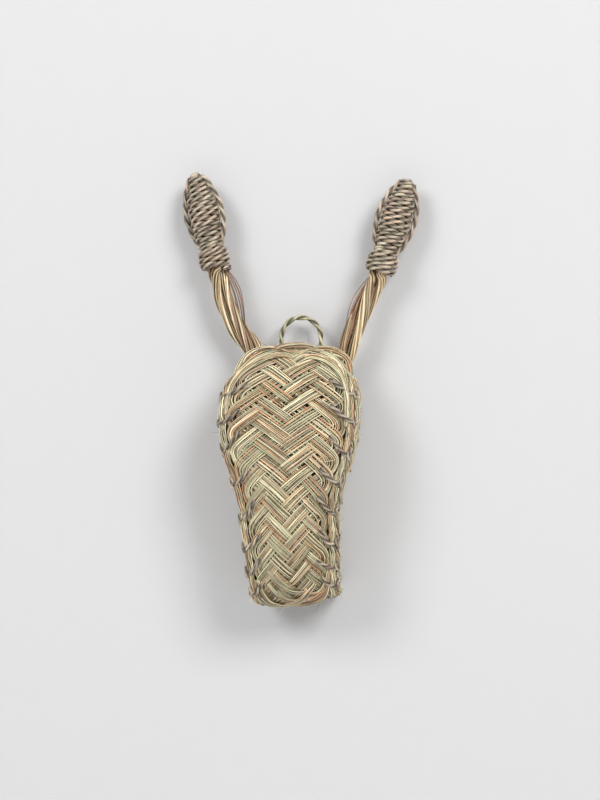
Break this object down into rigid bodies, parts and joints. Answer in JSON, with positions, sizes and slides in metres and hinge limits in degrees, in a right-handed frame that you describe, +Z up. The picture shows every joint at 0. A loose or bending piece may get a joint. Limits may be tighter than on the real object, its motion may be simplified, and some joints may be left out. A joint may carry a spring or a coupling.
{
  "type": "plaited grass animal head wall hanging",
  "caption": "Hollow animal head of herringbone-plaited grass sewn with two-ply cord, with rope stalks ending in cord-wound tips, hung on a wall by a cord loop.",
  "frame": {"origin": "on the wall plane, where the axis of the nail under the hanging loop meets it, level with the underside of the loop's top", "axes": "+X to the right of a person who faces the object, +Y from the object into the wall, +Z up; the wall is the plane y = 0"},
  "size_m": [0.2362, 0.093, 0.4288],
  "materials": {
    "plait_straw": "dry esparto grass, matt",
    "stalk_straw": "dry golden straw, matt",
    "stitch_cord": "two-ply cord of beaten grass, dark grey-brown",
    "tip_cord": "two-ply cord of beaten grass, greige",
    "loop_cord": "two-ply cord of grass, greenish"
  },
  "bodies": {
    "head": {"face_plait": "plait_straw", "left_cheek_plait": "plait_straw", "right_cheek_plait": "plait_straw", "back_plait": "plait_straw", "crown_roll": "plait_straw", "crown_stitches": "plait_straw", "back_hem": "plait_straw", "left_stalk_ply_1": "stalk_straw", "left_stalk_ply_2": "stalk_straw", "left_stalk_ply_3": "stalk_straw", "right_stalk_ply_1": "stalk_straw", "right_stalk_ply_2": "stalk_straw", "right_stalk_ply_3": "stalk_straw", "left_tip_core": "stalk_straw", "right_tip_core": "stalk_straw", "left_front_stitches": "stitch_cord", "right_front_stitches": "stitch_cord", "left_back_stitches": "stitch_cord", "right_back_stitches": "stitch_cord", "hem_stitches": "stitch_cord", "chin_stitches": "stitch_cord", "left_stalk_lashing": "stitch_cord", "right_stalk_lashing": "stitch_cord", "left_tip_collar": "tip_cord", "left_tip_winding": "tip_cord", "left_tip_side_cords": "tip_cord", "left_tip_knob": "tip_cord", "right_tip_collar": "tip_cord", "right_tip_winding": "tip_cord", "right_tip_side_cords": "tip_cord", "right_tip_knob": "tip_cord"},
    "loop": {"hanging_loop": "loop_cord"}
  },
  "joints": [
    {"name": "loop_fold", "type": "hinge", "parent": "head", "child": "loop", "pos_m": [0, -0.0145, -0.042], "axis": [1, 0, 0], "range_deg": [-15, 35]}
  ]
}
